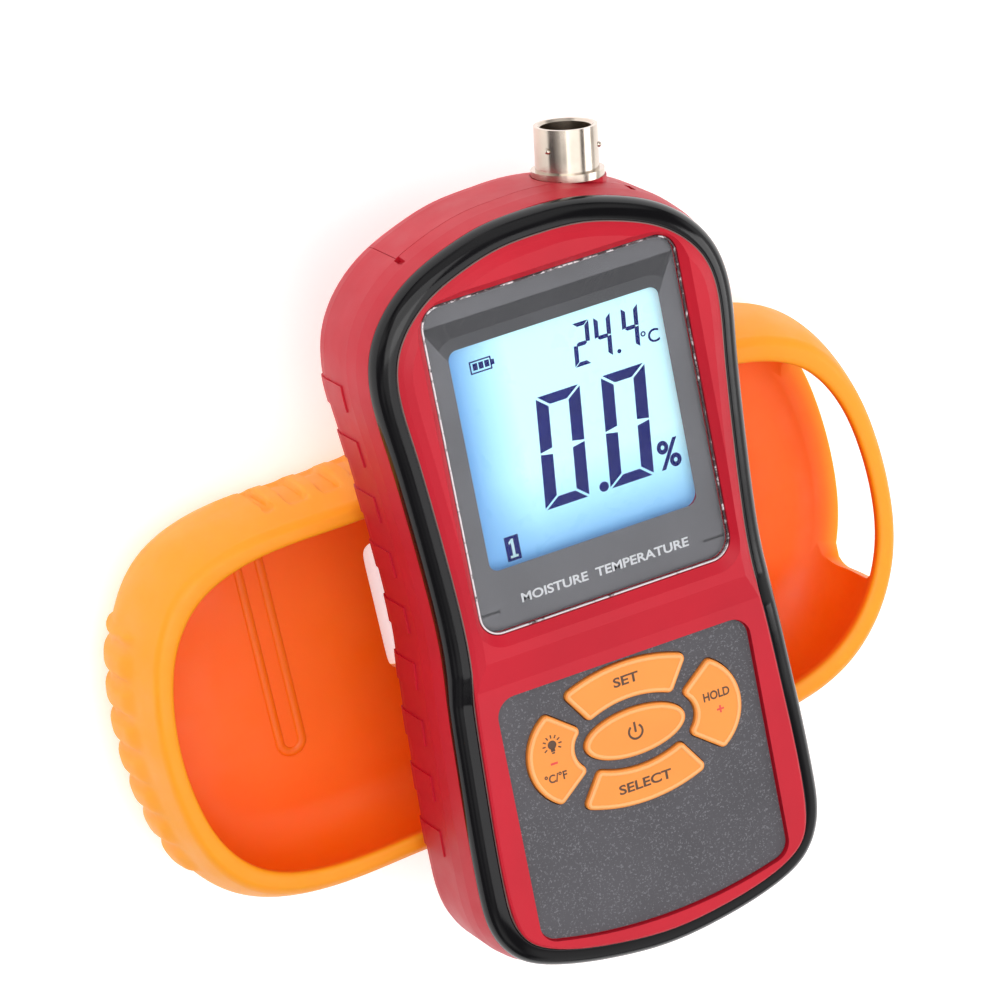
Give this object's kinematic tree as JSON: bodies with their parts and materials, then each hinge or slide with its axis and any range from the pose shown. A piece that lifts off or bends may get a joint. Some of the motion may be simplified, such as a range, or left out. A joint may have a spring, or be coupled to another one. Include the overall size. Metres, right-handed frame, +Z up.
{
  "type": "grain moisture meter",
  "caption": "Hand-held grain moisture meter with a backlit display, membrane keys and a probe socket, lying across its removable rubber boot.",
  "frame": {"origin": "on the floor, below the middle of the whole object's bounding box", "axes": "+Z up, out of the meter's face; +Y along the meter towards its probe socket; +X to the right of the face"},
  "size_m": [0.174, 0.1722, 0.0648],
  "materials": {
    "case_red": "satin moulded plastic",
    "trim_black": "high gloss",
    "lens_clear": "clear acrylic",
    "mask_grey": "printed film",
    "tape_grey": "adhesive tape",
    "lcd_glass": "clear",
    "backlight_white": "diffusing, lit",
    "frame_white": "moulded",
    "strip_rubber": "soft",
    "board_green": "solder mask",
    "chip_black": "moulded epoxy",
    "can_metal": "drawn can",
    "capacitor_blue": "sleeve",
    "spring_metal": "plated",
    "keypad_grey": "fine textured film",
    "key_orange": "satin silicone",
    "socket_nickel": "nickel plated",
    "insulator_black": "moulded",
    "contact_brass": "gold flashed",
    "wire_insulation": "PVC",
    "battery_jacket": "printed sleeve",
    "screw_steel": "zinc plated",
    "boot_rubber": "satin elastomer"
  },
  "bodies": {
    "boot": {"protective_boot": "boot_rubber"},
    "meter": {"front_shell": "case_red", "rear_shell": "case_red", "connector_panel": "case_red", "trim_ring": "trim_black", "display_lens": "lens_clear", "lens_mask": "mask_grey", "lens_tape": "tape_grey", "lcd_front_glass": "lcd_glass", "lcd_rear_glass": "lcd_glass", "backlight_panel": "backlight_white", "lcd_frame": "frame_white", "zebra_strips": "strip_rubber", "main_board": "board_green", "microcontroller": "chip_black", "amplifier_chips": "chip_black", "crystal_can": "can_metal", "capacitors": "capacitor_blue", "buzzer": "chip_black", "dome_switches": "spring_metal", "keypad_overlay": "keypad_grey", "socket_shell": "socket_nickel", "socket_insulator": "insulator_black", "socket_contacts": "contact_brass", "socket_studs": "socket_nickel", "socket_washer": "socket_nickel", "socket_nut": "socket_nickel", "socket_leads": "wire_insulation", "battery_springs": "spring_metal", "battery_contacts": "spring_metal", "battery_leads": "wire_insulation", "case_screws": "screw_steel", "board_screws": "screw_steel", "battery_1": "battery_jacket", "battery_2": "battery_jacket", "battery_3": "battery_jacket", "battery_4": "battery_jacket"},
    "door": {"battery_door": "case_red"},
    "set_key": {"key_set": "key_orange"},
    "power_key": {"key_power": "key_orange"},
    "select_key": {"key_select": "key_orange"},
    "hold_key": {"key_hold": "key_orange"},
    "light_key": {"key_light": "key_orange"}
  },
  "joints": [
    {"name": "meter_lift", "type": "slide", "parent": "boot", "child": "meter", "axis": [0, 0, 1], "range_m": [0, 0.12]},
    {"name": "door_slide", "type": "slide", "parent": "meter", "child": "door", "axis": [0, -1, 0], "range_m": [0, 0.014]},
    {"name": "set_press", "type": "slide", "parent": "meter", "child": "set_key", "axis": [0, 0, -1], "range_m": [0, 0.0004], "stiffness_N_per_m": 2500},
    {"name": "power_press", "type": "slide", "parent": "meter", "child": "power_key", "axis": [0, 0, -1], "range_m": [0, 0.0004], "stiffness_N_per_m": 2500},
    {"name": "select_press", "type": "slide", "parent": "meter", "child": "select_key", "axis": [0, 0, -1], "range_m": [0, 0.0004], "stiffness_N_per_m": 2500},
    {"name": "hold_press", "type": "slide", "parent": "meter", "child": "hold_key", "axis": [0, 0, -1], "range_m": [0, 0.0004], "stiffness_N_per_m": 2500},
    {"name": "light_press", "type": "slide", "parent": "meter", "child": "light_key", "axis": [0, 0, -1], "range_m": [0, 0.0004], "stiffness_N_per_m": 2500}
  ]
}
